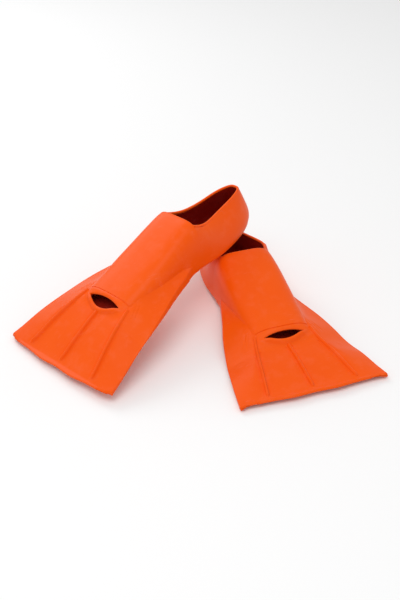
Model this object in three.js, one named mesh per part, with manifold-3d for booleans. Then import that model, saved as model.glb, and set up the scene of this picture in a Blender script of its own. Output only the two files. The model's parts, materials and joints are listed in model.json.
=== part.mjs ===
// A pair of short full-foot swim fins: one stands on the floor, the other lies across its heel.
//
// Each fin is built in its own frame: x runs across the blade, y from the blade's tip to the heel,
// z up from the heel pad. A fin's pieces are boxes whose points are moved onto its smooth shape.
// Everything is in millimetres.

import * as THREE from 'three';
import { mergeVertices } from 'three/addons/utils/BufferGeometryUtils.js';
import Module from 'manifold-3d';

const wasm = await Module();
wasm.setup();

// ---------------------------------------------------------------- driving dimensions

const gap = 0.3;                // clearance between pieces that touch
const wall = 3;                 // thickness of the pocket's walls
const soleThickness = 4.5;
const webThickness = 3.5;
const ribWidth = 4.2;
const ribHeight = 2;
const rimDiameter = 3.6;
const tipBow = 5;               // how far the middle of the tip reaches past its corners
const ribTip = 12;              // where the ribs end, short of the blade's tip

const hingeY = 72;              // the line where the blade starts to bend
const hingeZ = 15;
const bendClearance = 30;       // degrees that the blade's root leaves free above and below
const frameEnd = 100;           // rear end of the toe frame
const wingEnd = 186;            // where the wings run out on the pocket's sides
const instepEnd = 232;          // front edge of the foot opening
const heelEnd = 354;            // back of the heel

const bladeRubber = { color: 0xf25420, roughness: 0.42, metalness: 0 };
const pocketRubber = { color: 0xf85f1e, roughness: 0.38, metalness: 0 };

// Widths and heights along the fin, each a smooth line through [y, value] points.
const edgeHalfWidth = [[0, 99], [45, 91], [98, 78], [128, 68], [155, 58], [185, 48], [354, 40]];
const pocketHalfWidth = [[70, 40], [100, 41], [150, 43], [190, 42], [232, 40]];
const creaseHalfWidth = [[0, 76], [20, 68], [47, 57], [75, 46], [100, 41.3]];
const undersideZ = [
  [0, -17], [25, -10], [60, 0.5], [98, 6], [150, 8], [200, 7], [240, 3], [270, 0], [285, 0], [354, 0],
];
const pocketTopZ = [[100, 34], [165, 51], [215, 66], [232, 71]];
const webTopZ = [[0, -9.5], [12, -5], [40, 8], [75, 21], [100, 27]];
const edgeTopZ = [[0, -10], [20, -4], [47, 5], [98, 14], [128, 17], [190, 18]];
const wingInnerZ = [[72, 20.5], [98, 26], [128, 24], [190, 19]];

// The foot opening's edge: the leaning fin's sides fold in, and the standing fin's gape.
const foldedOpening = {
  z: [[232, 65], [248, 57], [265, 53], [290, 53], [318, 55], [345, 57]],
  halfWidth: [[232, 36], [248, 29], [265, 24], [290, 19], [320, 17], [349, 15]],
};
const gapingOpening = {
  z: [[232, 62], [248, 60], [265, 58], [290, 57], [318, 57], [345, 57]],
  halfWidth: [[232, 36], [248, 34.5], [265, 31], [290, 25], [320, 19], [349, 15]],
};

// How the two fins lie: the standing fin is pitched onto its blade's tip, and the leaning fin
// rests on the standing fin's foot opening and on its own tip.
const standingBladeBend = 15;                       // degrees, tip up
const standingPitch = 0.5;                          // degrees, tip down
const leaningYaw = -64.1;
const leaningPitch = 10.8;
const leaningRoll = 2.4;
const leaningPosition = new THREE.Vector3(-282.7, 146.3, 23.4);

// ---------------------------------------------------------------- helpers

// A smooth line through [y, value] points, level or straight at both ends.
function along(points, y) {
  const last = points.length - 1;
  let i = 0;
  while (i < last - 1 && y > points[i + 1][0]) i += 1;
  const slope = (a, b) => (points[b][1] - points[a][1]) / (points[b][0] - points[a][0]);
  const here = slope(i, i + 1);
  const startSlope = i === 0 ? here : (slope(i - 1, i) + here) / 2;
  const endSlope = i + 1 === last ? here : (here + slope(i + 1, i + 2)) / 2;
  const span = points[i + 1][0] - points[i][0];
  const t = THREE.MathUtils.clamp((y - points[i][0]) / span, 0, 1);
  const hermite = (2 * t - 3) * t * t;
  return points[i][1] * (1 + hermite) - points[i + 1][1] * hermite
    + span * t * (1 - t) * ((1 - t) * startSlope - t * endSlope);
}

// A unit box cut into cells, with each point (u, v, w in 0..1) moved to place(u, v, w).
function shapedBox(cellsU, cellsV, cellsW, place) {
  const box = new THREE.BoxGeometry(1, 1, 1, cellsU, cellsV, cellsW);
  box.deleteAttribute('normal');
  box.deleteAttribute('uv');
  const position = box.attributes.position;
  for (let i = 0; i < position.count; i += 1) {
    const point = place(position.getX(i) + 0.5, position.getY(i) + 0.5, position.getZ(i) + 0.5);
    position.setXYZ(i, ...point);
  }
  return mergeVertices(box, 1e-4);
}

function toSolid(geometry) {
  const bare = geometry.clone();
  bare.deleteAttribute('normal');
  bare.deleteAttribute('uv');
  const merged = mergeVertices(bare, 1e-4);
  const vertProperties = new Float32Array(merged.attributes.position.array);
  const triVerts = new Uint32Array(merged.index.array);
  return new wasm.Manifold(new wasm.Mesh({ numProp: 3, vertProperties, triVerts }));
}

function fromSolid(solid) {
  const mesh = solid.getMesh();
  const geometry = new THREE.BufferGeometry();
  geometry.setAttribute('position', new THREE.BufferAttribute(mesh.vertProperties, 3));
  geometry.setIndex(new THREE.BufferAttribute(mesh.triVerts, 1));
  return geometry;
}

const mix = THREE.MathUtils.lerp;
const radians = THREE.MathUtils.degToRad;

// A point of a rounded-box curve at an angle from its top: 2 is an ellipse, more is squarer.
function roundedBox(angle, squareness) {
  const power = (value) => Math.sign(value) * Math.abs(value) ** (2 / squareness);
  return [power(Math.sin(angle)), power(Math.cos(angle))];
}

// ---------------------------------------------------------------- pieces of the foot part

function sole() {
  const soleReach = 0.985;      // its flat back end, as a share of the heel's depth
  return shapedBox(6, 26, 1, (u, v, w) => {
    const y = mix(hingeY + gap, instepEnd + soleReach * heelDepth(0), Math.sin(v * Math.PI / 2));
    const reach = Math.max(y - instepEnd, 0) / heelDepth(0);
    const round = heelSquareness(0);
    const half = along(pocketHalfWidth, y) * (1 - reach ** round) ** (1 / round);
    return [mix(-half, half, u), y, along(undersideZ, y) + w * soleThickness];
  });
}

// The arch over the foot: both side walls and the crowned top, as one bent wall.
function instepCover() {
  const squareness = 3.6;
  return shapedBox(18, 10, 1, (u, v, w) => {
    const y = mix(frameEnd + gap, instepEnd, v);
    const inset = (1 - w) * wall;
    const base = along(undersideZ, y) + soleThickness + gap;
    const [across, up] = roundedBox(mix(-Math.PI / 2, Math.PI / 2, u), squareness);
    const half = along(pocketHalfWidth, y) - inset;
    const height = along(pocketTopZ, y) - base - inset;
    return [half * across, y, base + height * up];
  });
}

// The heel cup's outline at a height from 0, the sole, to 1, the rim. It narrows towards the rim.
const heelSquareness = (height) => mix(2.3, 3.2, height ** 2);
const heelDepth = (height) => heelEnd - instepEnd - 14 * height ** 2 - 9 * (1 - height) ** 3;

function heelPoint(opening, u, height, inset) {
  const angle = mix(-Math.PI / 2, Math.PI / 2, u);
  const [across, back] = roundedBox(angle, heelSquareness(height));
  const y = instepEnd + gap + (heelDepth(height) - gap - inset) * back;
  const half = mix(pocketHalfWidth.at(-1)[1], along(opening.halfWidth, y), height ** 2.5);
  return [(half - inset) * across, y];
}

function heelCup(opening) {
  return shapedBox(22, 6, 1, (u, v, w) => {
    const [x, y] = heelPoint(opening, 1 - u, v, (1 - w) * wall);
    const base = along(undersideZ, y) + soleThickness + gap;
    return [x, y, mix(base, along(opening.z, y), v)];
  });
}

// The bead around the foot opening, along the heel cup's top and over the instep's front edge.
function openingRim(opening) {
  const bead = rimDiameter / 2;
  const clear = bead + 3 * gap;
  const pull = 0.985;           // how far the bead is drawn in over the walls' middle
  const sideSteps = 20;
  const crownSteps = 8;
  const points = [];
  for (let i = 0; i <= sideSteps; i += 1) {
    const [x, y] = heelPoint(opening, i / sideSteps, 1, wall / 2);
    const front = i === 0 || i === sideSteps ? clear : 0;
    points.push(new THREE.Vector3(x * pull, y + front, along(opening.z, y) + clear));
  }
  const half = opening.halfWidth[0][1] - wall / 2;
  const sideZ = opening.z[0][1];
  const crownZ = pocketTopZ.at(-1)[1];
  for (let i = 1; i < crownSteps; i += 1) {
    const [across, up] = roundedBox(mix(Math.PI / 2, -Math.PI / 2, i / crownSteps), 2);
    const z = mix(sideZ, crownZ, up) + clear;
    points.push(new THREE.Vector3(half * across * pull, instepEnd + clear, z));
  }
  const section = new THREE.Shape().absarc(0, 0, bead, 0, 2 * Math.PI);
  const path = new THREE.CatmullRomCurve3(points, true);
  return new THREE.ExtrudeGeometry(section, { steps: 56, curveSegments: 4, extrudePath: path });
}

// The raised band around the toe slot, closed in front by the lip and open behind to the foot.
function toeFrame() {
  const crownStart = 66;        // the band starts to crown here, and is highest at its rear end
  const crownHeight = 7;
  const lipHeight = 1;
  const top = (x, y) => {
    const rise = (y - crownStart) / (frameEnd - crownStart);
    const crown = Math.cos(x / along(pocketHalfWidth, frameEnd) * Math.PI / 2);
    return along(webTopZ, y) + lipHeight + crownHeight * crown * rise;
  };
  const block = shapedBox(12, 6, 1, (u, v, w) => {
    const y = mix(hingeY + gap, frameEnd, v);
    const half = along(pocketHalfWidth, y);
    const x = mix(-half, half, u);
    return [x, y, mix(along(undersideZ, y) + soleThickness + gap, top(x, y), w)];
  });
  const chamber = shapedBox(10, 4, 1, (u, v, w) => {
    const y = mix(hingeY + 7, frameEnd + 1, v);
    const half = along(pocketHalfWidth, y) - wall;
    const x = mix(-half, half, u) * Math.sqrt(mix(0.55, 1, v));
    return [x, y, mix(-20, top(x, y) - wall - 0.5, w)];
  });
  const slotShape = new THREE.Shape();
  slotShape.moveTo(-27, 90);
  slotShape.quadraticCurveTo(0, 97, 27, 90);
  slotShape.quadraticCurveTo(0, 75, -27, 90);
  const slot = new THREE.ExtrudeGeometry(slotShape, { depth: 60, bevelEnabled: false, curveSegments: 8 });
  return fromSolid(toSolid(block).subtract(toSolid(chamber)).subtract(toSolid(slot)));
}

// The wedge beside the pocket, from the blade back to where it runs out on the side wall.
function wing(side) {
  return shapedBox(4, 12, 1, (u, v, w) => {
    const y = mix(hingeY + gap, wingEnd, v);
    const outward = side > 0 ? u : 1 - u;
    const x = mix(along(pocketHalfWidth, y) + gap, along(edgeHalfWidth, y), outward);
    const top = mix(along(wingInnerZ, y), along(edgeTopZ, y), outward);
    return [side * x, y, mix(along(undersideZ, y), top, w)];
  });
}

// ---------------------------------------------------------------- pieces of the blade

// Keeps the part of a blade piece that stays clear of the foot part when the blade bends.
function bladeRoot(geometry) {
  const reach = 80;
  const back = hingeY - reach * Math.tan(radians(bendClearance));
  const outline = new THREE.Shape();
  outline.moveTo(hingeY, hingeZ);
  outline.lineTo(back, hingeZ + reach);
  outline.lineTo(-reach, hingeZ + reach);
  outline.lineTo(-reach, hingeZ - reach);
  outline.lineTo(back, hingeZ - reach);
  const prism = new THREE.ExtrudeGeometry(outline, { depth: 400, bevelEnabled: false });
  prism.translate(0, 0, -200);
  prism.rotateZ(Math.PI / 2);
  prism.rotateY(Math.PI / 2);
  return fromSolid(toSolid(geometry).intersect(toSolid(prism)));
}

function bladeWeb() {
  return bladeRoot(shapedBox(14, 8, 1, (u, v, w) => {
    const y = mix(-tipBow * Math.sin(u * Math.PI), hingeY, v);
    const half = along(creaseHalfWidth, y);
    return [mix(-half, half, u), y, along(webTopZ, y) - (1 - w) * webThickness];
  }));
}

function rail(side) {
  return bladeRoot(shapedBox(4, 8, 1, (u, v, w) => {
    const y = mix(0, hingeY, v);
    const outward = side > 0 ? u : 1 - u;
    const x = mix(along(creaseHalfWidth, y) + gap, along(edgeHalfWidth, y), outward);
    const top = mix(along(webTopZ, y), along(edgeTopZ, y), outward);
    const bottom = mix(along(webTopZ, y) - webThickness, along(undersideZ, y), outward ** 2);
    return [side * x, y, mix(bottom, top, w)];
  }));
}

// A rib lies on the web, from its root to just short of the tip, and leans towards a corner.
function rib(rootX, tipX) {
  const root = hingeY - 6;
  const shoulder = 0.5;         // height of the rib's sides
  const crestWidth = 0.6;       // of its foot's width
  return bladeRoot(shapedBox(2, 10, 1, (u, v, w) => {
    const y = mix(ribTip, root, v);
    const height = w * (shoulder + ribHeight * Math.sin(u * Math.PI));
    const x = mix(tipX, rootX, v) + (u - 0.5) * ribWidth * mix(1, crestWidth, w);
    return [x, y, along(webTopZ, y) + gap + height];
  }));
}

// ---------------------------------------------------------------- a whole fin, and the pair

function namedMesh(name, geometry, finish) {
  const mesh = new THREE.Mesh(geometry, new THREE.MeshStandardMaterial(finish));
  mesh.name = name;
  return mesh;
}

function fin(prefix, opening, bladeBend) {
  const foot = new THREE.Group();
  foot.add(namedMesh(`${prefix}_sole`, sole(), pocketRubber));
  foot.add(namedMesh(`${prefix}_instep_cover`, instepCover(), pocketRubber));
  foot.add(namedMesh(`${prefix}_heel_cup`, heelCup(opening), pocketRubber));
  foot.add(namedMesh(`${prefix}_opening_rim`, openingRim(opening), pocketRubber));
  foot.add(namedMesh(`${prefix}_toe_frame`, toeFrame(), pocketRubber));
  foot.add(namedMesh(`${prefix}_left_wing`, wing(-1), pocketRubber));
  foot.add(namedMesh(`${prefix}_right_wing`, wing(1), pocketRubber));

  const blade = new THREE.Group();
  blade.add(namedMesh(`${prefix}_blade_web`, bladeWeb(), bladeRubber));
  blade.add(namedMesh(`${prefix}_left_rail`, rail(-1), bladeRubber));
  blade.add(namedMesh(`${prefix}_right_rail`, rail(1), bladeRubber));
  blade.add(namedMesh(`${prefix}_left_rib`, rib(-40, -60), bladeRubber));
  blade.add(namedMesh(`${prefix}_centre_rib`, rib(0, 0), bladeRubber));
  blade.add(namedMesh(`${prefix}_right_rib`, rib(40, 60), bladeRubber));
  for (const piece of blade.children) piece.geometry.translate(0, -hingeY, -hingeZ);
  blade.position.set(0, hingeY, hingeZ);
  blade.rotation.x = radians(-bladeBend);
  foot.add(blade);
  return foot;
}

const standing = fin('right', gapingOpening, standingBladeBend);
standing.rotation.x = radians(standingPitch);

const leaning = fin('left', foldedOpening, 0);
leaning.rotation.order = 'ZXY';
leaning.rotation.set(radians(leaningPitch), radians(-leaningRoll), radians(leaningYaw));
leaning.position.copy(leaningPosition);

// The origin is the middle of the floor under the pair.
const pair = new THREE.Group();
pair.add(standing, leaning);
const extent = new THREE.Box3().setFromObject(pair, true);
const centre = extent.getCenter(new THREE.Vector3());
pair.position.set(-centre.x, -centre.y, -extent.min.z);

export default pair;
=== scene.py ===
"""A pair of short full-foot swim fins in orange rubber, one standing and one lying across it.

Each fin is shaped in its own flat frame, in millimetres: x across the blade, y from the blade's
tip to the heel, z up from the heel pad. Its place and its blade's bend are applied to the points,
so every finished piece lies in the shared frame, in metres.
"""

import json
import math

import bpy
import numpy as np
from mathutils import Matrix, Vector


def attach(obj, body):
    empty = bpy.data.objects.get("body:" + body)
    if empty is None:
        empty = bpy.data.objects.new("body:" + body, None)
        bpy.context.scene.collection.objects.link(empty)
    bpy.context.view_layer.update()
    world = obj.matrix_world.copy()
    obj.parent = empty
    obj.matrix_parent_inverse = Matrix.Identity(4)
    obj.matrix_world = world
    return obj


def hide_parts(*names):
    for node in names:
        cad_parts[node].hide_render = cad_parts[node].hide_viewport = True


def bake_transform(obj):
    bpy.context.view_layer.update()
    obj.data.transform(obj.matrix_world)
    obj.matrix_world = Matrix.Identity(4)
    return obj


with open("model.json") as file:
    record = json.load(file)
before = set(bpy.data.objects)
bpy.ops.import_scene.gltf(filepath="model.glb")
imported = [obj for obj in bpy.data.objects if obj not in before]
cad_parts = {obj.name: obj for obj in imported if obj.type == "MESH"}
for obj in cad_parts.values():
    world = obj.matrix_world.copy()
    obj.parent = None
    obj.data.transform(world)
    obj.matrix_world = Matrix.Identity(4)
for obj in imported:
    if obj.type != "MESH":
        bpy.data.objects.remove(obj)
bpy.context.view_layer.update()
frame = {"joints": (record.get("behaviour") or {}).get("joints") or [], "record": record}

MM = 0.001

# ---------------------------------------------------------------- driving dimensions

HINGE_Y = 72                  # the blade bends about a line here
HINGE_Z = 15
BEND_START = 100              # the bend is spread from here
BEND_END = 48                 # to here
FRAME_END = 100               # rear end of the toe frame
WING_END = 220                # where the wings run out on the pocket's sides
INSTEP_END = 232              # front edge of the foot opening
HEEL_END = 354
RESTING_BEND = {"right": 15, "left": 0}      # degrees, tip up

WALL = 3
SOLE_THICKNESS = 4.5
WEB_THICKNESS = 3.5
RIM_DIAMETER = 3.5
TIP_BOW = 6.5
CORNER = {"right": -3.2, "left": 1.8}        # the tip's corners: nubs, or cut back
BLADE_HALF = 98               # half the blade's width at its tip

# Widths and heights along the fin, each a smooth line through (y, value) points.
EDGE_HALF = [(0, BLADE_HALF), (45, 90), (98, 77.5), (128, 69), (155, 59.5), (180, 51.5), (200, 46),
             (220, 42)]
POCKET_HALF = [(70, 40), (100, 41), (150, 43), (190, 42), (232, 40)]
CREASE_HALF = [(0, 76), (20, 68), (47, 57), (75, 46), (100, 41), (150, 42.6), (190, 41.6), (232, 39.6)]
CREASE_Z = [(0, -9.5), (12, -5), (40, 8), (75, 21), (100, 27), (128, 25), (190, 21), (220, 18)]
EDGE_Z = [(0, -10.5), (20, -6.5), (47, 0.5), (98, 10), (128, 15), (155, 18), (190, 19), (220, 16)]
UNDERSIDE_Z = [(0, -17), (25, -10), (60, 0.5), (98, 6), (150, 8), (200, 7), (240, 3), (270, 0),
               (285, 0), (354, 0)]
CROWN_Z = [(100, 34), (165, 52), (210, 66), (224, 69.8), (232, 70.4)]
FLARE = 0.8                   # how far the instep's rear edge rolls up

# How much wider the pocket's sides stand at the opening than in the mould.
GAPE = {"right": 3.2, "left": -1.0}
GAPE_START = 125
GAPE_END = 220

ARCH_SQUARENESS = (3.4, 4.6)  # of the instep cover's section, in front and behind: 2 is an ellipse

# How widely the turn at a crease is spread: behind SOFTER_FROM, and at the tip.
CREASE_SOFTNESS = (1.6, 4)
SOFTER_FROM = 60

# The foot opening's edge: the leaning fin's sides fold in, and the standing fin's gape.
OPENING_Z = {
    "left": [(232, 65), (248, 55.5), (265, 51.5), (290, 51), (318, 52.5), (345, 53)],
    "right": [(232, 65), (248, 64), (265, 62), (290, 59), (318, 57), (345, 57)],
}
OPENING_HALF = {
    "left": [(248, 29), (265, 25), (290, 21), (320, 19.5), (349, 17)],
    "right": [(248, 40), (265, 37), (290, 30), (320, 21), (349, 15)],
}

# ---------------------------------------------------------------- curves and the fin's surfaces


def along(points, y):
    """A smooth line through (y, value) points, level past both ends."""
    ys, values = np.array(points, float).T
    slopes = np.diff(values) / np.diff(ys)
    tangents = np.concatenate([slopes[:1], (slopes[:-1] + slopes[1:]) / 2, slopes[-1:]])
    y = np.clip(y, ys[0], ys[-1])
    i = np.clip(np.searchsorted(ys, y, side="right") - 1, 0, len(slopes) - 1)
    span = ys[i + 1] - ys[i]
    t = (y - ys[i]) / span
    rise = (3 - 2 * t) * t * t
    bow = span * t * (1 - t) * ((1 - t) * tangents[i] - t * tangents[i + 1])
    return values[i] * (1 - rise) + values[i + 1] * rise + bow


def mix(a, b, t):
    """The value a share t of the way from a to b."""
    return a + (b - a) * t


def smooth(t):
    """0 before t = 0, 1 after t = 1, and a smooth step between them."""
    t = np.clip(t, 0, 1)
    return t * t * (3 - 2 * t)


def bump_at(distance, width):
    """A soft bump of height 1 where the distance is 0."""
    return np.exp(-(distance / width) ** 2)


def rounded_box(angle, squareness):
    """A point of a rounded-box curve at an angle from its top: 2 is an ellipse."""
    def power(value):
        return np.sign(value) * np.abs(value) ** (2 / squareness)
    return power(np.sin(angle)), power(np.cos(angle))


def top_z(x, y):
    """The upper surface of blade and wings, which turns down softly outside the crease."""
    crease = along(CREASE_HALF, y)
    edge = along(EDGE_HALF, y)
    slope = (along(EDGE_Z, y) - along(CREASE_Z, y)) / np.maximum(edge - crease, 1)
    softness = mix(*CREASE_SOFTNESS, smooth((SOFTER_FROM - y) / SOFTER_FROM))
    outside = np.abs(x) - crease
    turned = softness * np.logaddexp(0, outside / softness)
    return along(CREASE_Z, y) + slope * turned


def pocket_half(side, y):
    """Half the pocket's width outside: the standing fin gapes behind, the leaning one folds in."""
    return along(POCKET_HALF, y) + GAPE[side] * smooth((y - GAPE_START) / (GAPE_END - GAPE_START))


def arch_squareness(y):
    return mix(*ARCH_SQUARENESS, smooth((y - FRAME_END) / (INSTEP_END - FRAME_END)))


def arch_base(y):
    """Where the arch stands on the sole."""
    return along(UNDERSIDE_Z, y) + SOLE_THICKNESS


def arch_z(x, y):
    """Height of the instep cover's outside at a place across it, near its front."""
    share = np.clip(np.abs(x) / along(POCKET_HALF, y), 0, 1)
    power = arch_squareness(y)
    rise = (1 - share ** power) ** (1 / power)
    return mix(arch_base(y), along(CROWN_Z, y), rise)


# ---------------------------------------------------------------- placing a fin's points


def fin_matrix(side):
    """The fin's own frame in the shared frame, from its hinge and its heel pad."""
    joint = next(j for j in frame["joints"] if j["name"] == f"{side}_blade_flex")
    mount = next(m for m in frame["record"]["mounts"] if m["name"] == f"{side}_heel_rest")
    x = Vector(joint["axis"]).normalized()
    z = -Vector(mount["axis"]).normalized()
    y = z.cross(x)
    origin = Vector(joint["pos_m"]) - (y * HINGE_Y + z * HINGE_Z) * MM
    return np.array([[*x], [*y], [*z]]), np.array(origin)


AXES = {side: fin_matrix(side) for side in ("right", "left")}


def in_place(side, points):
    """Points of the flat fin, in mm, bent as it rests and moved to the shared frame, in m."""
    x, y, z = np.array(points, float).T
    angle = -math.radians(RESTING_BEND[side]) * smooth((BEND_START - y) / (BEND_START - BEND_END))
    back, up = y - HINGE_Y, z - HINGE_Z
    bent_y = HINGE_Y + back * np.cos(angle) - up * np.sin(angle)
    bent_z = HINGE_Z + back * np.sin(angle) + up * np.cos(angle)
    axes, origin = AXES[side]
    return np.stack([x, bent_y, bent_z], axis=1) * MM @ axes + origin


# ---------------------------------------------------------------- making and finishing a piece

WELD = 0.01                   # points closer than this are one point
SHARP_ANGLE = 50              # edges that turn more than this, in degrees, can be rounded
SMOOTH_ANGLE = 38             # edges that turn less than this, in degrees, are shaded smooth


def only(obj):
    """Selects one object and makes it the active one."""
    bpy.ops.object.select_all(action="DESELECT")
    obj.select_set(True)
    bpy.context.view_layer.objects.active = obj


def edit(obj, *steps):
    """Runs edit-mode steps on all of a mesh."""
    only(obj)
    bpy.ops.object.mode_set(mode="EDIT")
    bpy.ops.mesh.select_all(action="SELECT")
    for step in steps:
        step()
    bpy.ops.object.mode_set(mode="OBJECT")


def modify(obj, kind, **settings):
    """Adds a modifier and applies it."""
    only(obj)
    modifier = obj.modifiers.new(kind.lower(), kind)
    for key, value in settings.items():
        setattr(modifier, key, value)
    bpy.ops.object.modifier_apply(modifier=modifier.name)


def sheet_of(side, name, cells_u, cells_v, place):
    """A grid of cells whose points go to place(u, v), with u and v from 0 to 1."""
    bpy.ops.object.select_all(action="DESELECT")
    bpy.ops.mesh.primitive_grid_add(x_subdivisions=cells_u, y_subdivisions=cells_v, size=1)
    obj = bpy.context.object
    obj.name = f"{side}_{name}_skin"
    mesh = obj.data
    flat = np.zeros(len(mesh.vertices) * 3, np.float32)
    mesh.vertices.foreach_get("co", flat)
    u, v = flat.reshape(-1, 3)[:, :2].T.astype(float) + 0.5
    points = np.stack(np.broadcast_arrays(*place(u, v)), axis=1)
    mesh.vertices.foreach_set("co", in_place(side, points).astype(np.float32).ravel())
    for key, values in (("across", u), ("lengthwise", v)):
        mesh.attributes.new(key, "FLOAT", "POINT").data.foreach_set("value", values.astype(np.float32))
    mesh.update()
    return obj


def thicken(obj, thickness, shade_inside=False):
    """Gives a sheet its wall, inwards from its outer side. When asked, its inner side gets the inside
    material, whose darker tone is painted shade for the pocket's hollow.
    """
    if shade_inside:
        obj.data.materials.append(RUBBER["pocket_rubber"])
        obj.data.materials.append(RUBBER["inside"])
    modify(obj, "SOLIDIFY", thickness=thickness * MM, offset=-1, use_even_offset=True,
           material_offset=1, material_offset_rim=0)


def round_edges(obj, width, chosen, segments=3):
    """Rounds the sharp edges whose two ends pass chosen(u, v)."""
    mesh = obj.data
    count = len(mesh.vertices)
    u, v = np.zeros(count, np.float32), np.zeros(count, np.float32)
    mesh.attributes["across"].data.foreach_get("value", u)
    mesh.attributes["lengthwise"].data.foreach_get("value", v)
    marked = chosen(u, v)
    only(obj)
    bpy.ops.object.mode_set(mode="EDIT")
    bpy.ops.mesh.select_mode(type="EDGE")
    bpy.ops.mesh.select_all(action="DESELECT")
    bpy.ops.mesh.edges_select_sharp(sharpness=math.radians(SHARP_ANGLE))
    bpy.ops.object.mode_set(mode="OBJECT")
    for edge in mesh.edges:
        a, b = edge.vertices
        edge.select = edge.select and bool(marked[a] and marked[b])
    bpy.ops.object.mode_set(mode="EDIT")
    bpy.ops.mesh.bevel(offset=width * MM, segments=segments, affect="EDGES", clamp_overlap=True)
    bpy.ops.object.mode_set(mode="OBJECT")


def close_loft(obj):
    """Welds a grid that goes once round in u, and caps its two ends."""
    edit(obj,
         lambda: bpy.ops.mesh.remove_doubles(threshold=WELD * MM),
         lambda: bpy.ops.mesh.select_all(action="DESELECT"),
         lambda: bpy.ops.mesh.select_non_manifold(extend=False),
         lambda: bpy.ops.mesh.fill_holes(sides=0),
         lambda: bpy.ops.mesh.select_all(action="SELECT"),
         lambda: bpy.ops.mesh.normals_make_consistent(inside=False))


def finish_piece(obj, side, node, bends, finish):
    """Shades a piece, gives it its rubber, puts it on its body unless it bends, and hides its node."""
    only(obj)
    bpy.ops.object.shade_smooth_by_angle(angle=math.radians(SMOOTH_ANGLE))
    for key in ("across", "lengthwise"):
        if key in obj.data.attributes:
            obj.data.attributes.remove(obj.data.attributes[key])
    if not obj.data.materials:
        obj.data.materials.append(RUBBER[finish])
    if bends:
        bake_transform(obj)
    else:
        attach(obj, f"{side}_foot")
    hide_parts(f"{side}_{node}")
    return obj


# ---------------------------------------------------------------- rubber


class Wire:
    """A node socket that can be used in sums. It adds Math nodes to its own tree."""

    def __init__(self, tree, socket):
        self.tree = tree
        self.socket = socket

    def node(self, kind, settings=None, **inputs):
        """Adds a node, sets it up, and feeds its sockets with numbers, colours or wires.

        An input is named by its socket's name, or by its place after an underscore.
        """
        made = self.tree.nodes.new(kind)
        for key, value in (settings or {}).items():
            setattr(made, key, value)
        for key, value in inputs.items():
            place = int(key[1:]) if key[1:].isdigit() else key.replace("_", " ")
            socket = made.inputs[place]
            if isinstance(value, Wire):
                self.tree.links.new(value.socket, socket)
            else:
                socket.default_value = value
        return made

    def out(self, made, name=0):
        return Wire(self.tree, made.outputs[name])

    def maths(self, operation, a, b=0.0, clamp=False):
        settings = {"operation": operation, "use_clamp": clamp}
        return self.out(self.node("ShaderNodeMath", settings, _0=a, _1=b))

    def __add__(self, other):
        return self.maths("ADD", self, other)

    __radd__ = __add__

    def __sub__(self, other):
        return self.maths("SUBTRACT", self, other)

    def __rsub__(self, other):
        return self.maths("SUBTRACT", other, self)

    def __mul__(self, other):
        return self.maths("MULTIPLY", self, other)

    __rmul__ = __mul__

    def clamp(self):
        return self.maths("ADD", self, 0.0, clamp=True)


def blend_colours(start, share, a, b):
    """A colour a share of the way from a to b."""
    made = start.node("ShaderNodeMix", {"data_type": "RGBA"}, _0=share, _6=a, _7=b)
    return start.out(made, 2)


def noise(start, place, scale, detail=2.0, roughness=0.5):
    """Noise from 0 to 1, with about this many cells to the metre."""
    made = start.node("ShaderNodeTexNoise", None, Vector=place, Scale=scale, Detail=detail,
                      Roughness=roughness)
    return start.out(made, "Factor" if "Factor" in made.outputs else 0)


CLOUD_SCALE = 14
SCUFF_PATCH_SCALE = 22
MOTTLE_SCALE = 75
GRAIN_SCALE = 900
SCUFF_SCALE = (60, 420, 60)   # long one way, so that scuffs are streaks
SCUFF_TURN = (0.3, 0.2, 0.9)
GRAIN_DEPTH = 0.0006          # in m
SPECULAR_LEVEL = 0.13


def faded(colour, target, share):
    """A colour some of the way to an even grey, with its alpha."""
    return tuple(mix(c, target, share) for c in colour[:3]) + (1,)


def rubber(name, colour, deep, gloss, sheen):
    """Smooth moulded rubber: a cloudy tone, fine grain, scuffs and a soft pale bloom."""
    material = bpy.data.materials.new(name)
    material.use_nodes = True
    tree = material.node_tree
    shader = tree.nodes["Principled BSDF"]
    coords = tree.nodes.new("ShaderNodeTexCoord")
    place = Wire(tree, coords.outputs["Object"])

    cloud = noise(place, place, CLOUD_SCALE, 3)
    mottle = noise(place, place, MOTTLE_SCALE, 4, 0.6)
    grain = noise(place, place, GRAIN_SCALE, 2)
    streaks = place.node("ShaderNodeMapping", None, Vector=place, Scale=SCUFF_SCALE,
                         Rotation=SCUFF_TURN)
    scuffs = (noise(place, place.out(streaks), 1.0, 3, 0.7) - 0.62).clamp() * 6
    patches = (noise(place, place, SCUFF_PATCH_SCALE) - 0.42).clamp()
    scuffs = (scuffs * patches * 5).clamp()

    tone = blend_colours(place, (cloud * 1.6 - 0.3).clamp(), deep, colour)
    bloom, worn = faded(colour, 1.0, 0.05), faded(colour, 0.8, 0.22)
    tone = blend_colours(place, ((mottle - 0.5).clamp() * 1.1).clamp(), tone, bloom)
    tone = blend_colours(place, (scuffs * 0.35).clamp(), tone, worn)
    tree.links.new(tone.socket, shader.inputs["Base Color"])

    rough = gloss + (mottle - 0.5) * 0.16 + (grain - 0.5) * 0.08 + scuffs * 0.12
    tree.links.new(rough.clamp().socket, shader.inputs["Roughness"])

    relief = grain * 0.35 + mottle * 0.5 + cloud * 0.8 - scuffs * 0.25
    bump = place.node("ShaderNodeBump", None, Strength=0.16, Distance=GRAIN_DEPTH, Height=relief)
    tree.links.new(bump.outputs[0], shader.inputs["Normal"])

    shader.inputs["Specular IOR Level"].default_value = SPECULAR_LEVEL
    shader.inputs["Sheen Weight"].default_value = sheen
    shader.inputs["Sheen Roughness"].default_value = 0.35
    shader.inputs["Sheen Tint"].default_value = (1.0, 0.86, 0.84, 1)
    return material


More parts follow.
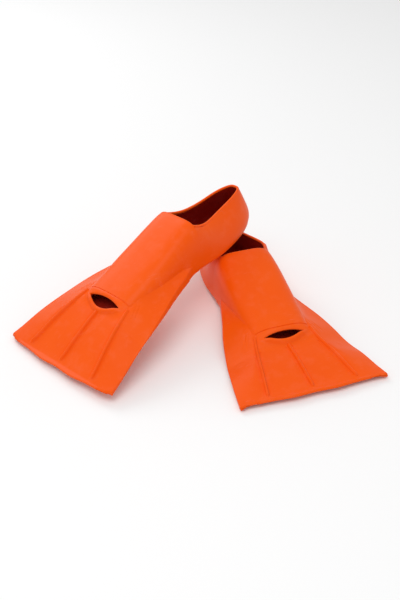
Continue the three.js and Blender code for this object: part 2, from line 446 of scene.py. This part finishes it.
# Each with its colour, its deeper tone, its roughness and its sheen.
RUBBER = {
    "pocket_rubber": rubber("pocket_rubber", (0.91, 0.104, 0.002, 1), (0.88, 0.089, 0.001, 1),
                            0.36, 0.02),
    "blade_rubber": rubber("blade_rubber", (0.90, 0.101, 0.002, 1), (0.87, 0.086, 0.001, 1),
                           0.39, 0.02),
    # The inside is the same rubber as the pocket; its darker tone is painted shade, standing in for
    # the shade deep in the pockets.
    "inside": rubber("pocket_inside_painted_shade", (0.42, 0.014, 0.004, 1), (0.30, 0.008, 0.003, 1), 0.6, 0.0),
}

# ---------------------------------------------------------------- the blade

RIB_TIP_Y = 3
RIB_WIDTH = 5.2
RIB_HEIGHT = 3.3
RIB_NOSE = 7                  # a rib rises from the web over this length at its tip
RIB_SUNK = 0.5
RIB_THICKNESS = 1.2
VALLEY_DEPTH = 0.4
VALLEY_HALF = 1.4
RIPPLE_HEIGHT = 0.8
RIPPLE_HALF_WAVES = 3.4       # from the middle to a corner
CORNER_LENGTH = 9
TIP_RADIUS = 1.3
RAIL_RADIUS = 1.8
NOSE_LENGTH = 2.4             # the rails' front edges are rounded over this length
RIB_FADE_START = 60           # behind this a rib gets lower
RIB_FADE = 35                 # over this length
RIB_LOW = 0.7                 # to this share of its height
FILL_START = HINGE_Y - 4      # the underside is filled from here
FILL_LENGTH = 26
MERGE_START = 188             # the wings' outer edges run into the pocket from here
MERGE_LENGTH = 30

# Each rib's root, as (x, y), and its x at the tip.
RIBS = {"left_rib": (-38.5, 95, -59.5), "centre_rib": (0, 74, 0), "right_rib": (38.5, 95, 59.5)}


def rib_x(rib, y):
    """Where a rib's middle is: the side ribs fan out towards the tip."""
    root_x, root_y, tip_x = RIBS[rib]
    return mix(tip_x, root_x, (y - RIB_TIP_Y) / (root_y - RIB_TIP_Y))


def web_z(x, y):
    """The web's upper surface, with a shallow valley on both sides of each rib."""
    z = top_z(x, y)
    reach = smooth((y - RIB_TIP_Y + 6) / 12)
    for rib in RIBS:
        beside = np.abs(x - rib_x(rib, y)) - RIB_WIDTH * 0.75
        z = z - VALLEY_DEPTH * bump_at(beside, VALLEY_HALF) * reach
    return z


def tip_y(side, x):
    """The tip's edge: a long bow with a gentle ripple, and its two corners."""
    across = np.clip(np.abs(x) / BLADE_HALF, 0, 1)
    bow = TIP_BOW * (1 - across ** 2.4)
    ripple = RIPPLE_HEIGHT * np.cos(x / BLADE_HALF * RIPPLE_HALF_WAVES * math.pi) * (1 - across ** 3)
    corner = CORNER[side] * smooth((np.abs(x) - BLADE_HALF + CORNER_LENGTH) / 7)
    return ripple - bow + corner


def make_web(side):
    def place(u, v):
        x_tip = (2 * u - 1) * along(CREASE_HALF, 0)
        y = mix(tip_y(side, x_tip), HINGE_Y, v)
        x = (2 * u - 1) * along(CREASE_HALF, y)
        return x, y, web_z(x, y)
    web = sheet_of(side, "blade_web", 130, 64, place)
    thicken(web, WEB_THICKNESS)
    round_edges(web, TIP_RADIUS, lambda u, v: v < 0.001)
    finish_piece(web, side, "blade_web", True, "blade_rubber")


# Where a flank's section turns, as shares of the way round it.
TURN, UNDER, INNER_WALL = 0.5, 0.75, 0.92


def flank_section(side, y, inner, outer, t):
    """A wedge's closed section: along its top, round its outer side, underneath, and back up."""
    r = np.minimum(RAIL_RADIUS, (outer - inner) * 0.4)
    edge_x = outer - r
    swing = math.pi * np.clip((t - TURN) / (UNDER - TURN), 0, 1)
    drop = (1 - np.cos(swing)) / 2
    part = [t < TURN, t < UNDER, t < INNER_WALL]
    x = np.select(part, [mix(inner, edge_x, t / TURN),
                         edge_x + r * np.sin(swing) ** 0.5,
                         mix(edge_x, inner, (t - UNDER) / (INNER_WALL - UNDER))], inner)
    top, bottom = wing_z(side, x, y), under_flank(x, y)
    z = np.select(part, [top,
                         mix(wing_z(side, edge_x, y), under_flank(edge_x, y), drop),
                         bottom], mix(bottom, top, (t - INNER_WALL) / (1 - INNER_WALL)))
    return x, z


def filled_in(y):
    """Goes from 0 at the blade's root to 1 where the underside is filled to the sole's level."""
    return smooth((y - FILL_START) / FILL_LENGTH)


def under_flank(x, y):
    """The underside: hollow below the blade, and filled to the sole's level beside the foot."""
    crease = along(CREASE_HALF, y)
    width = np.maximum(along(EDGE_HALF, y) - crease, 1)
    outward = np.clip((np.abs(x) - crease) / width, 0, 1)
    hollow = mix(along(CREASE_Z, y) - WEB_THICKNESS, along(UNDERSIDE_Z, y), outward ** 2)
    return mix(hollow, along(UNDERSIDE_Z, y), filled_in(y))


FILLET_HEIGHT = 5
FILLET_REACH = 4
FILLET_IN, FILLET_OUT = 25, 35               # it comes and goes over these lengths
IN_WALL = 0.8                 # how deep a wing is set in the pocket's wall

# The two soft folds beside each of the toe frame's corners.
FOLD_DEPTH = 0.55
FOLD_HALF = 0.9
FOLD_GAP = 4.2
FOLD_OFFSET = 4.5
FOLD_SLANT = 0.45
FOLD_FRONT = 88
FOLD_BACK = 112
FOLD_FADE = 5


def fillet_height(y):
    """How high a wing climbs the pocket's wall above its own surface."""
    return FILLET_HEIGHT * smooth((y - FRAME_END) / FILLET_IN) * smooth((WING_END - y) / FILLET_OUT)


def wing_inner(side, y):
    """Where a wing or a rail starts: at the crease in front, and in the pocket's wall behind."""
    base = arch_base(y)
    power = arch_squareness(y)
    join = (along(CREASE_Z, y) + fillet_height(y) - base) / (along(CROWN_Z, y) - base)
    on_wall = pocket_half(side, y) * (1 - np.clip(join, 0, 0.99) ** power) ** (1 / power)
    return mix(along(CREASE_HALF, y), on_wall - IN_WALL, smooth((y - FRAME_END) / 3))


def wing_z(side, x, y):
    """The wings' upper surface, which climbs the pocket's side in a hollow curve."""
    off_wall = np.clip(np.abs(x) - wing_inner(side, y) - IN_WALL, 0, None)
    fillet = fillet_height(y) * np.exp(-off_wall / FILLET_REACH)
    beside_corner = smooth((y - FOLD_FRONT) / FOLD_FADE) * smooth((FOLD_BACK - y) / FOLD_FADE)
    off_fold = np.abs(x) - along(CREASE_HALF, FRAME_END) - FOLD_OFFSET + (y - FRAME_END) * FOLD_SLANT
    folds = bump_at(off_fold, FOLD_HALF) + bump_at(off_fold - FOLD_GAP, FOLD_HALF)
    return top_z(x, y) + fillet - FOLD_DEPTH * folds * beside_corner


def make_flank(side, name, hand, start, end, cells, finish):
    """A rail beside the blade, or a wing beside the pocket. start() gives its front edge."""
    def place(u, v):
        outward = np.clip(np.minimum(u / TURN, (INNER_WALL - u) / (INNER_WALL - UNDER)), 0, 1)
        front = start(side, outward)
        y = mix(front, end, v)
        merged = smooth((y - MERGE_START) / MERGE_LENGTH)
        outer = mix(along(EDGE_HALF, y), pocket_half(side, y) - IN_WALL, merged)
        x, z = flank_section(side, y, wing_inner(side, y), outer, u)
        if end < FRAME_END:
            nose = np.clip((y - front) / NOSE_LENGTH, 0, 1)
            middle = (wing_z(side, x, y) + under_flank(x, y)) / 2
            z = mix(middle, z, np.sqrt(1 - 0.95 * (1 - nose) ** 2))
        return hand * x, y, z

    piece = sheet_of(side, name, 100, cells, place)
    close_loft(piece)
    finish_piece(piece, side, name, True, finish)


def rail_front(side, outward):
    """A rail's front edge, from its inner side, 0, to its outer side, 1."""
    return tip_y(side, mix(along(CREASE_HALF, 0), BLADE_HALF, outward))


def wing_front(side, outward):
    """A wing starts square across, behind the rail."""
    return HINGE_Y


def make_rib(side, rib):
    root_y = RIBS[rib][1]

    def place(u, v):
        y = mix(RIB_TIP_Y, root_y, v)
        end = np.sqrt(1 - (1 - np.clip((y - RIB_TIP_Y) / RIB_NOSE, 0, 1)) ** 2)
        middle = rib_x(rib, y)
        x = middle + (u - 0.5) * RIB_WIDTH * mix(0.4, 1, end)
        arch = np.sin(math.pi * u) ** 0.8
        lower_behind = mix(1, RIB_LOW, smooth((y - RIB_FADE_START) / RIB_FADE))
        ground = np.where(y > HINGE_Y, frame_z(middle, y), top_z(middle, y))
        return x, y, ground - RIB_SUNK + (RIB_HEIGHT + RIB_SUNK) * arch * end * lower_behind
    piece = sheet_of(side, rib, 16, 90, place)
    thicken(piece, RIB_THICKNESS)
    finish_piece(piece, side, rib, True, "blade_rubber")


# ---------------------------------------------------------------- the foot pocket

SLOT_HALF = 27
SLOT_Y = 90
SLOT_BACK = 4.5
SLOT_FRONT = {"right": 8, "left": 11}
SLOT_CORNER = 0.8             # the slot's ends face the frame's sides beyond this share of its half
LIP_HEIGHT = 3.6
LIP_TOP = 3.2                 # width of the lip's level top
LIP_SLOPE = 4.2               # width of its slope
ROLL_DEPTH = 1.0              # how far the slot's own edge rolls in
ROLL_HALF = 1.1
FRAME_LAP = 1.5               # how far the frame reaches below the instep cover
FRAME_STEP = 0.8              # how far the frame lies below the cover's surface
FRAME_SOFTNESS = 1.5
FRAME_RISE_START = 74
FRAME_RISE = 30


def frame_z(x, y):
    """The toe frame's upper surface: it rises from the blade to the instep cover's front."""
    above_crease = arch_z(x, FRAME_END) - FRAME_STEP - along(CREASE_Z, FRAME_END)
    crown = np.logaddexp(0, above_crease * FRAME_SOFTNESS) / FRAME_SOFTNESS
    rise = smooth((y - FRAME_RISE_START) / FRAME_RISE) * 1.12
    return top_z(x, y) + crown * np.clip(rise, 0, 1)


def quarters(t):
    """Which of a loop's four sides a share of the way round is on, and how far along it."""
    quarter = np.minimum((t * 4).astype(int), 3)
    return quarter, t * 4 - quarter


def frame_outline(t):
    """A point on the toe frame's edge, once round from its rear left corner."""
    quarter, part = quarters(t)
    back, front = FRAME_END + FRAME_LAP, HINGE_Y
    back_half, front_half = along(CREASE_HALF, back), along(CREASE_HALF, front)
    forwards, backwards = mix(back, front, part), mix(front, back, part)
    on = [quarter == 0, quarter == 1, quarter == 2]
    x = np.select(on, [mix(-back_half, back_half, part),
                       along(CREASE_HALF, forwards),
                       mix(front_half, -front_half, part)], -along(CREASE_HALF, backwards))
    y = np.select(on, [back, forwards, front], backwards)
    return x, y


def slot_outline(side, t):
    """A point on the slot's edge that faces the same point of the toe frame's edge."""
    quarter, part = quarters(t)
    to_end = SLOT_CORNER + (1 - SLOT_CORNER) * (1 - np.abs(2 * part - 1))
    share = np.select([quarter == 0, quarter == 1, quarter == 2],
                      [mix(-SLOT_CORNER, SLOT_CORNER, part),
                       to_end,
                       mix(SLOT_CORNER, -SLOT_CORNER, part)], -to_end)
    behind = (quarter == 0) | ((quarter == 1) & (part < 0.5)) | ((quarter == 3) & (part > 0.5))
    depth = np.where(behind, SLOT_BACK, -SLOT_FRONT[side])
    return share * SLOT_HALF, SLOT_Y + depth * (1 - share ** 2)


def make_toe_frame(side):
    def place(u, v):
        outer_x, outer_y = frame_outline(1 - u)
        slot_x, slot_y = slot_outline(side, 1 - u)
        outward = (1 - v) ** 1.5
        x, y = mix(slot_x, outer_x, outward), mix(slot_y, outer_y, outward)
        away = np.hypot(x - slot_x, y - slot_y)
        ahead = smooth((SLOT_Y - slot_y) / SLOT_FRONT[side] * 1.3 + 0.25)
        lip = LIP_HEIGHT * ahead * (1 - smooth((away - LIP_TOP) / LIP_SLOPE))
        roll = ROLL_DEPTH * bump_at(away, ROLL_HALF)
        fade = smooth((y - HINGE_Y) / 3)
        return x, y, frame_z(x, y) + (lip - roll) * fade
    piece = sheet_of(side, "toe_frame", 176, 26, place)
    edit(piece, lambda: bpy.ops.mesh.remove_doubles(threshold=WELD * MM))
    thicken(piece, WALL, shade_inside=True)
    finish_piece(piece, side, "toe_frame", True, "pocket_rubber")


FOOT_SHARE = 0.1              # the share of a wall's section that is its foot, beside the sole
FOOT_SPREAD = 2               # how far the foot turns in
FOOT_DROP = SOLE_THICKNESS - 0.2
FLARE_LENGTH = 14


def make_instep_cover(side):
    arch_share = 1 - FOOT_SHARE

    def place(u, v):
        y = mix(FRAME_END, INSTEP_END, v)
        a = 2 * u - 1
        foot = np.clip((np.abs(a) - arch_share) / FOOT_SHARE, 0, 1)
        angle = np.clip(a / arch_share, -1, 1) * math.pi / 2
        across, up = rounded_box(angle, arch_squareness(y))
        base, crown = arch_base(y), along(CROWN_Z, y)
        near_end = smooth((y - INSTEP_END + FLARE_LENGTH) / FLARE_LENGTH)
        flare = FLARE * near_end ** 2 * np.clip(up, 0, 1) ** 2
        x = pocket_half(side, y) * across - np.sign(a) * FOOT_SPREAD * foot ** 2
        z = mix(base, crown, up) + flare - foot * FOOT_DROP
        return x, y, z
    piece = sheet_of(side, "instep_cover", 150, 90, place)
    thicken(piece, WALL, shade_inside=True)
    finish_piece(piece, side, "instep_cover", False, "pocket_rubber")


HEEL_ROUND = 2.3              # squareness of the heel's plan at the sole
RIM_ROUND = 3.2               # and at the rim
HEEL_LAP = 2.5                # the heel bulges this far past its nominal end
HEEL_LEAN = 12.5              # how far the rim lies ahead of the heel
HEEL_TUCK = 8                 # how far the heel turns in at the sole


def heel_depth(h):
    """How far the heel cup reaches behind the instep: it leans in towards the rim."""
    return HEEL_END - INSTEP_END + HEEL_LAP - HEEL_LEAN * h - HEEL_TUCK * (1 - h) ** 8


def heel_point(side, u, h, inset=0.0):
    """A point of the heel cup at a height from 0, the sole, to 1, the rim."""
    squareness = mix(HEEL_ROUND, RIM_ROUND, h ** 2)
    across, back = rounded_box(mix(-math.pi / 2, math.pi / 2, u), squareness)
    y = INSTEP_END + (heel_depth(h) - inset) * back
    base, crown = arch_base(INSTEP_END), along(CROWN_Z, INSTEP_END)
    power = arch_squareness(INSTEP_END)
    full = pocket_half(side, INSTEP_END)
    cut = (OPENING_Z[side][0][1] - base) / (crown - base)
    at_rim = 1 - (1 - cut ** power) ** (1 / power)
    boxy = (1 - (1 - (cut * h) ** power) ** (1 / power)) / at_rim
    drawn_in = mix(boxy, h ** 1.5, smooth((y - INSTEP_END) / 60))
    rim_half = along([(INSTEP_END, full * (1 - at_rim))] + OPENING_HALF[side], y)
    x = (full - (full - rim_half) * drawn_in - inset) * across
    z = mix(arch_base(y), along(OPENING_Z[side], y), h)
    return x, y, z


def make_heel_cup(side):
    def place(u, v):
        h = np.clip((v - FOOT_SHARE) / (1 - FOOT_SHARE), 0, 1)
        foot = np.clip(1 - v / FOOT_SHARE, 0, 1)
        x, y, z = heel_point(side, 1 - u, h, FOOT_SPREAD * foot ** 2)
        return x, y, z - foot * FOOT_DROP
    piece = sheet_of(side, "heel_cup", 190, 60, place)
    thicken(piece, WALL, shade_inside=True)
    finish_piece(piece, side, "heel_cup", False, "pocket_rubber")


RIM_POINTS_HEEL = 90
RIM_POINTS_INSTEP = 40
RIM_SMOOTHINGS = 2


def rim_path(side):
    """Points once round the foot opening: round the heel, and back over the instep's edge."""
    heel = np.stack(heel_point(side, np.linspace(0, 1, RIM_POINTS_HEEL), np.ones(RIM_POINTS_HEEL),
                               WALL / 2), axis=1)
    squareness = arch_squareness(INSTEP_END)
    half = pocket_half(side, INSTEP_END)
    corner = math.asin(min(abs(heel[-1][0]) / half, 1) ** (squareness / 2))
    angles = np.linspace(corner, -corner, RIM_POINTS_INSTEP + 2)[1:-1]
    across, up = rounded_box(angles, squareness)
    base, crown = arch_base(INSTEP_END), along(CROWN_Z, INSTEP_END) - WALL / 2
    instep = np.stack([(half - WALL / 2) * across, np.full(len(up), INSTEP_END - 0.2),
                       mix(base, crown, up) + FLARE * up ** 2], axis=1)
    ring = np.concatenate([heel, instep])
    for _ in range(RIM_SMOOTHINGS):
        ring = (np.roll(ring, 1, axis=0) + 2 * ring + np.roll(ring, -1, axis=0)) / 4
    return ring


def make_rim(side):
    """The rounded bead along the foot opening."""
    world = in_place(side, rim_path(side))
    curve = bpy.data.curves.new(f"{side}_rim_path", "CURVE")
    curve.dimensions = "3D"
    spline = curve.splines.new("POLY")
    spline.points.add(len(world) - 1)
    spline.points.foreach_set("co", np.c_[world, np.ones(len(world))].ravel())
    spline.use_cyclic_u = True
    curve.bevel_depth = RIM_DIAMETER / 2 * MM
    curve.bevel_resolution = 5
    piece = bpy.data.objects.new(f"{side}_opening_rim_skin", curve)
    bpy.context.scene.collection.objects.link(piece)
    only(piece)
    bpy.ops.object.convert(target="MESH")
    piece = bpy.context.object
    finish_piece(piece, side, "opening_rim", False, "pocket_rubber")


SOLE_NOSE = 62                # the sole starts here, below the blade's root
SOLE_INSET = 2
SOLE_LAP = 1                  # how far the sole's front reaches into the web


def make_sole(side):
    """The sole, which turns up in front to close the toe under the blade's root."""
    depth = heel_depth(0) - SOLE_INSET

    def place(u, v):
        y = mix(SOLE_NOSE, INSTEP_END + 0.99 * depth, np.sin(v * math.pi / 2))
        reach = np.clip(y - INSTEP_END, 0, None) / depth
        in_pocket = smooth((y - FRAME_END) / 10)
        half = mix(along(CREASE_HALF, y) + 0.4, pocket_half(side, y) - 1.8, in_pocket)
        half = half * (1 - reach ** HEEL_ROUND) ** (1 / HEEL_ROUND)
        under_web = along(CREASE_Z, y) - WEB_THICKNESS - SOLE_THICKNESS + SOLE_LAP
        z = mix(under_web, along(UNDERSIDE_Z, y), filled_in(y))
        return (1 - 2 * u) * half, y, z
    piece = sheet_of(side, "sole", 40, 120, place)
    thicken(piece, SOLE_THICKNESS, shade_inside=True)
    finish_piece(piece, side, "sole", True, "pocket_rubber")


def make_fin(side):
    make_web(side)
    for rib in RIBS:
        make_rib(side, rib)
    for name, hand in (("left", -1), ("right", 1)):
        make_flank(side, f"{name}_rail", hand, rail_front, HINGE_Y, 64, "blade_rubber")
        make_flank(side, f"{name}_wing", hand, wing_front, WING_END, 110, "pocket_rubber")
    make_toe_frame(side)
    make_instep_cover(side)
    make_heel_cup(side)
    make_rim(side)
    make_sole(side)


for fin_side in ("right", "left"):
    make_fin(fin_side)

# ---------------------------------------------------------------- floor, lights and camera

# Lengths are in metres here.
FLOOR_SIZE = 14
FLOOR_DROP = 0.0005           # the floor lies just below the part
LIT_POINT = Vector((0, 0, 0.04))
VIEWED_POINT = Vector((0.026, -0.004, 0.050))
VIEW_AZIMUTH, VIEW_ELEVATION = math.radians(19.9), math.radians(33.0)
VIEW_DISTANCE = 1.374
VIEW_LENS, VIEW_SENSOR = 63.8, 36            # in mm
WORLD_STRENGTH = 0.68


def make_floor():
    bpy.ops.object.select_all(action="DESELECT")
    bpy.ops.mesh.primitive_plane_add(size=FLOOR_SIZE, location=(0, 0, -FLOOR_DROP))
    floor = bpy.context.object
    floor.name = "floor"
    material = bpy.data.materials.new("pale_floor")
    material.use_nodes = True
    shader = material.node_tree.nodes["Principled BSDF"]
    shader.inputs["Base Color"].default_value = (0.93, 0.93, 0.93, 1)
    shader.inputs["Roughness"].default_value = 0.8
    shader.inputs["Specular IOR Level"].default_value = 0.1
    floor.data.materials.append(material)


def make_light(name, place, size, power):
    light = bpy.data.lights.new(name, "AREA")
    light.shape = "DISK"
    light.size = size
    light.energy = power
    lamp = bpy.data.objects.new(name, light)
    bpy.context.scene.collection.objects.link(lamp)
    lamp.location = place
    lamp.rotation_euler = (LIT_POINT - Vector(place)).to_track_quat("-Z", "Y").to_euler()


def make_camera():
    level = math.cos(VIEW_ELEVATION)
    ahead = Vector((math.sin(VIEW_AZIMUTH) * level, math.cos(VIEW_AZIMUTH) * level,
                    -math.sin(VIEW_ELEVATION)))
    data = bpy.data.cameras.new("camera")
    data.lens = VIEW_LENS
    data.sensor_width = VIEW_SENSOR
    camera = bpy.data.objects.new("camera", data)
    bpy.context.scene.collection.objects.link(camera)
    camera.location = VIEWED_POINT - ahead * VIEW_DISTANCE
    camera.rotation_euler = ahead.to_track_quat("-Z", "Y").to_euler()
    bpy.context.scene.camera = camera


def make_world():
    world = bpy.data.worlds.new("studio")
    world.use_nodes = True
    background = world.node_tree.nodes["Background"]
    background.inputs["Color"].default_value = (1, 1, 1, 1)
    background.inputs["Strength"].default_value = WORLD_STRENGTH
    bpy.context.scene.world = world


make_floor()
make_world()
make_light("key", (-0.5, -0.7, 1.9), 1.4, 14)
make_light("back", (-0.4, 1.5, 1.2), 1.0, 8)
make_camera()
bpy.context.scene.view_settings.view_transform = "Standard"
